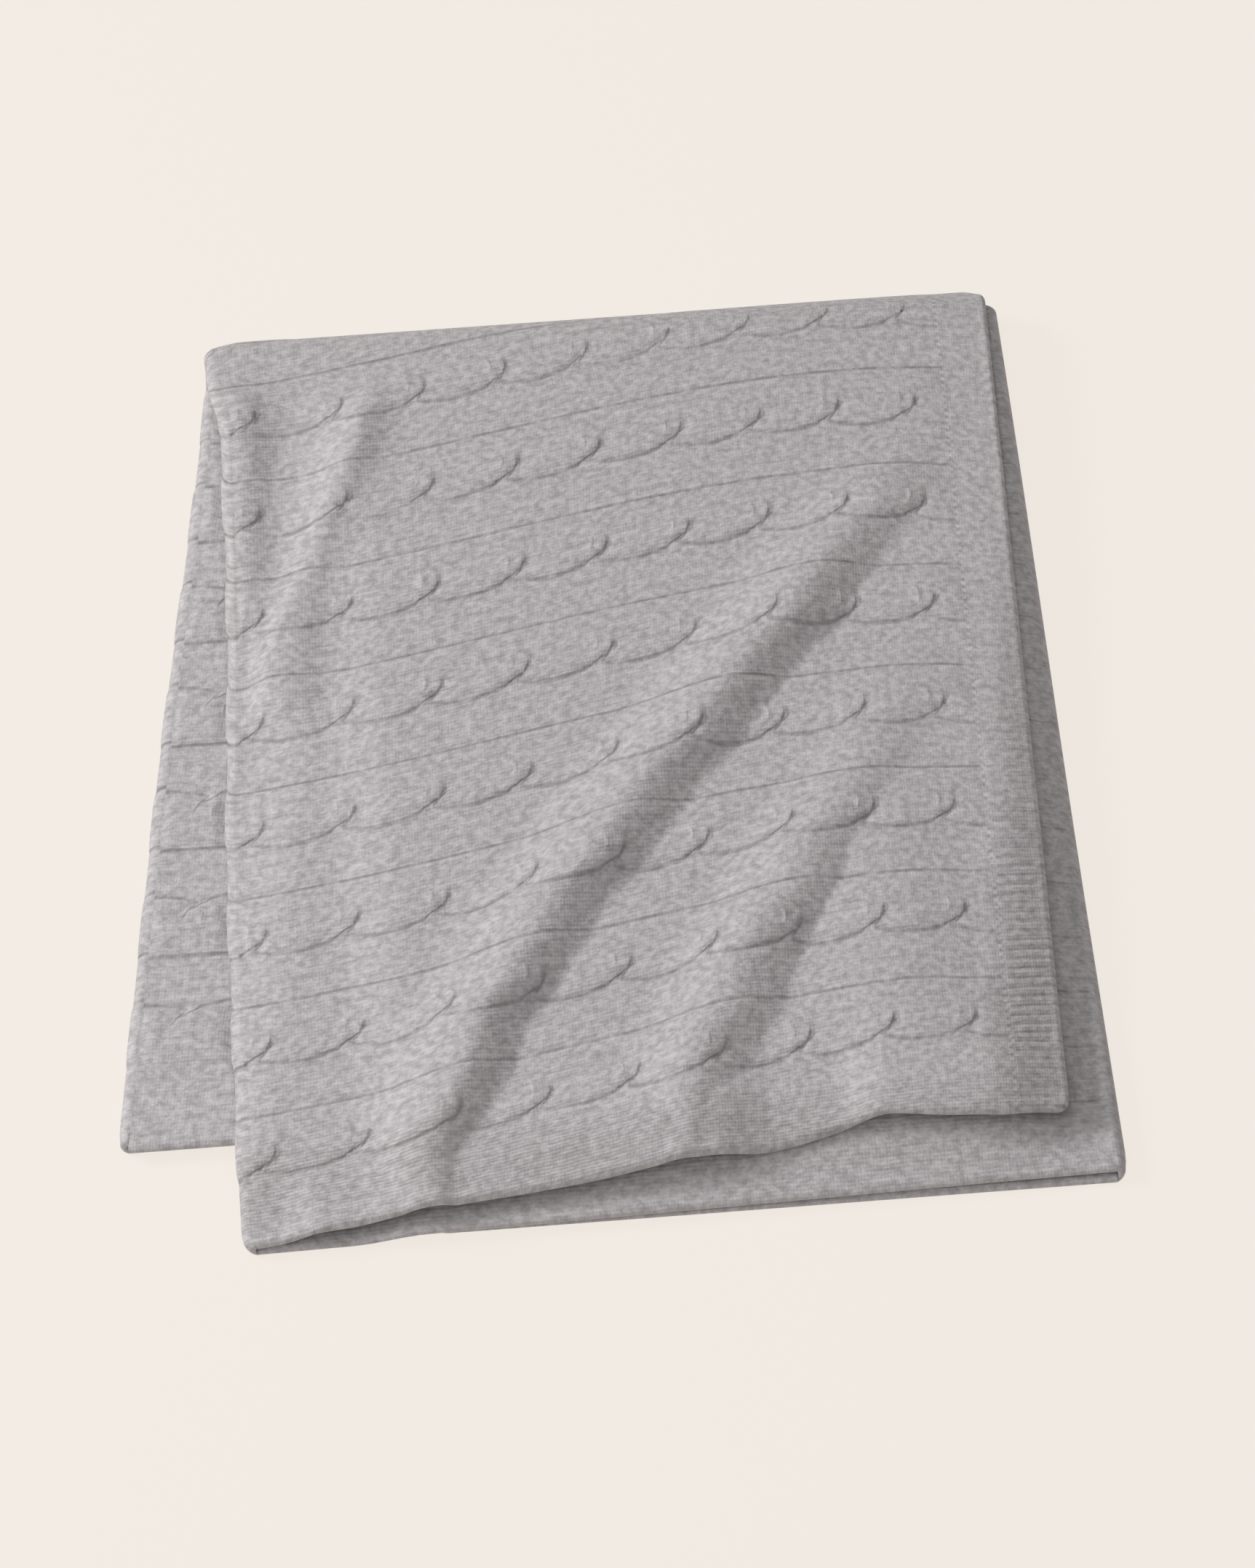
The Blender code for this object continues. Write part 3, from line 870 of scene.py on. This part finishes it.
def three_leaves(half, outer, length, under, knits, top_grid, middle_grid, rib_rows):
    """The ten pieces of one half: three leaves, their bands and the two side folds. under, which lists what
    each leaf rests on, is not used, and a grid is a leaf's columns, its hem's rows and its own."""
    inside = length - BORDER_WIDTH
    columns, hem_rows, rows = top_grid
    outer = f"{half}_{outer}"
    half_piece(half, outer + "_leaf", "top", columns, rows, knits[0], (LEAF_END, inside))
    border = (LEAF_END, BORDER_WIDTH)
    half_piece(half, outer + "_border", "top", columns, hem_rows, "plain_border", border)
    band = (RIB_WIDTH, length)
    half_piece(half, outer + "_rib_band", "top", EDGE_COLUMNS, rib_rows, "ribbed_knit", band)

    columns, hem_rows, rows = middle_grid
    middle = f"{half}_middle"
    half_piece(half, middle + "_leaf", "middle", columns, rows, knits[1], (MIDDLE_WIDTH, inside))
    border = (MIDDLE_WIDTH, BORDER_WIDTH)
    half_piece(half, middle + "_border", "middle", columns, hem_rows, "plain_border", border)

    columns = INNER_COLUMNS
    inner = f"{half}_inner"
    leaf = (INNER_LEAF_END, inside)
    half_piece(half, inner + "_leaf", "inner", columns, PLAIN_ROWS, knits[0], leaf)
    border = (INNER_LEAF_END, BORDER_WIDTH)
    half_piece(half, inner + "_border", "inner", columns, PLAIN_HEM_ROWS, "plain_border", border)
    columns = INNER_EDGE_COLUMNS
    half_piece(half, inner + "_rib_band", "inner", columns, PLAIN_ALL, "ribbed_knit", band)

    bend = (FOLD_CUT, length)
    for side, rows, beneath in (("left", ALL_ROWS, under[0]), ("right", PLAIN_ALL, under[1])):
        node = f"{half}_{side}_fold"
        half_piece(half, node, side + "_bend", BEND_COLUMNS, rows, "folded_knit", bend)


# A far fold's columns cross from one layer to the next, so each layer's have a range of
# their own. The top leaf's run up to 0, and an angle in a turn is divided by TURN_SCALE.
MIDDLE_START = 2.0
RIGHT_TURN_START = 3.0
INNER_START = 4.0
TURN_SCALE = 100


def far_fold_point(c, theta, side):
    """A point of a far fold: its layer and its place across are read from c."""
    layers = (
        ("top", c <= 0, -c),
        ("left_bend", (c > 0) & (c < MIDDLE_START), c * TURN_SCALE),
        ("middle", (c >= MIDDLE_START) & (c < RIGHT_TURN_START), c - MIDDLE_START),
        ("right_bend", (c >= RIGHT_TURN_START) & (c < INNER_START), (c - RIGHT_TURN_START) * TURN_SCALE),
        ("inner", c >= INNER_START, c - INNER_START),
    )
    t = np.full_like(c, ROWS_END)
    spots = np.zeros((len(c), 3))
    w, v = np.zeros_like(c), np.zeros_like(c)
    for layer, mine, across in layers:
        if mine.any():
            laid = surface("fold", layer, across[mine], t[mine], theta[mine], side[mine])
            spots[mine], w[mine], v[mine] = laid
    return spots, w, v


def far_folds():
    """The three layers that turn round the far fold, each with half of a side fold."""
    first_half = [value / TURN_SCALE for value in BEND_COLUMNS[1:7]]
    second_half = [value / TURN_SCALE for value in BEND_COLUMNS[6:12]]
    top = [-value for value in reversed(joined(TOP_COLUMNS, EDGE_COLUMNS))]
    middle = [MIDDLE_START + value for value in MIDDLE_COLUMNS]
    right_in = [RIGHT_TURN_START + value for value in first_half]
    right_out = [RIGHT_TURN_START + value for value in second_half]
    inner = [INNER_START + value for value in joined(INNER_COLUMNS, INNER_EDGE_COLUMNS)]
    folds = (
        ("outer", top + first_half, TOP_WIDTH + FOLD_CUT / 2, OUTER_REACH),
        ("middle", second_half + middle + right_in, MIDDLE_WIDTH + FOLD_CUT, MIDDLE_REACH),
        ("inner", right_out + inner, INNER_WIDTH + FOLD_CUT / 2, INNER_REACH + GAP),
    )
    for layer, columns, width, reach in folds:
        node = f"top_fold_{layer}"
        made = grid_piece(node + "_cloth", columns, ARC_ROWS, far_fold_point, finishes["folded_knit"])
        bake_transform(made)
        below = "rear_bottom_leaf" if layer == "outer" else "top_fold_outer"
        declare(node, (width, math.pi * reach))


three_leaves(
    "front",
    "top",
    length=FOLD_Y - (TOP_HEM[0] + TOP_HEM[1]) / 2,
    under=("front_middle_leaf", "front_inner_leaf", "rear_inner_leaf"),
    knits=("cable_knit", "knit_wrong_side"),
    top_grid=(TOP_COLUMNS, HEM_ROWS, LEAF_ROWS),
    middle_grid=(MIDDLE_COLUMNS, PLAIN_HEM_ROWS, PLAIN_ROWS),
    rib_rows=RIB_ROWS,
)
three_leaves(
    "rear",
    "bottom",
    length=FOLD_Y - REAR_HEMS[1],
    under=("floor", "rear_bottom_leaf", "rear_middle_leaf"),
    knits=("knit_wrong_side", "cable_knit"),
    top_grid=(WIDE_COLUMNS, PLAIN_HEM_ROWS, PLAIN_ROWS),
    middle_grid=(STRIP_COLUMNS, HEM_ROWS, LEAF_ROWS),
    rib_rows=PLAIN_ALL,
)
far_folds()


# Floor, lights and camera


def floor_finish():
    made = bpy.data.materials.new("pale_floor")
    made.use_nodes = True
    shader = made.node_tree.nodes["Principled BSDF"]
    shader.inputs["Base Color"].default_value = (0.055, 0.052, 0.05, 1.0)
    shader.inputs["Roughness"].default_value = 0.9
    shader.inputs["Emission Color"].default_value = (0.871, 0.815, 0.752, 1.0)
    shader.inputs["Emission Strength"].default_value = 0.94
    return made


def pale_floor():
    bm = bmesh.new()
    bmesh.ops.create_grid(bm, x_segments=1, y_segments=1, size=6.0)
    mesh = bpy.data.meshes.new("floor")
    bm.to_mesh(mesh)
    bm.free()
    mesh.materials.append(floor_finish())
    made = bpy.data.objects.new("floor", mesh)
    bpy.context.scene.collection.objects.link(made)


def soft_room():
    scene = bpy.context.scene
    scene.view_settings.view_transform = "Standard"
    scene.world = bpy.data.worlds.new("soft_room")
    scene.world.use_nodes = True
    backdrop = scene.world.node_tree.nodes["Background"]
    backdrop.inputs["Color"].default_value = (1.0, 0.97, 0.95, 1.0)
    backdrop.inputs["Strength"].default_value = 0.26


def aimed(made, place, direction):
    """Puts a light or a camera at a place, looking in a direction."""
    made.location = place
    made.rotation_euler = direction.to_track_quat("-Z", "Y").to_euler()
    bpy.context.scene.collection.objects.link(made)


def soft_light(name, place, size, power, tint):
    lamp = bpy.data.lights.new(name, "AREA")
    lamp.shape = "DISK"
    lamp.size = size
    lamp.energy = power
    lamp.color = tint
    aimed(bpy.data.objects.new(name, lamp), place, Vector((SHIFT_X, SHIFT_Y, 0.0)) - Vector(place))


def long_camera(tilt, swing, distance, view_height):
    """A camera this far away, tilted down and swung to the side by these angles."""
    ahead = Vector((math.sin(swing) * math.cos(tilt), math.cos(swing) * math.cos(tilt), -math.sin(tilt)))
    lens = bpy.data.cameras.new("camera")
    lens.sensor_fit = "VERTICAL"
    lens.sensor_height = 36.0
    lens.lens = lens.sensor_height * distance / view_height
    camera = bpy.data.objects.new("camera", lens)
    aimed(camera, Vector((SHIFT_X, SHIFT_Y, 0.020)) - distance * ahead, ahead)
    bpy.context.scene.camera = camera


pale_floor()
soft_room()
soft_light("window_light", (-3.38, 0.75, 2.60), 1.4, 137.0, (1.0, 0.995, 0.99))
soft_light("ceiling_light", (-0.3, -0.5, 2.4), 2.0, 16.0, (1.0, 0.995, 0.995))
long_camera(math.radians(60.0), math.radians(4.85), distance=4.0, view_height=1.02)
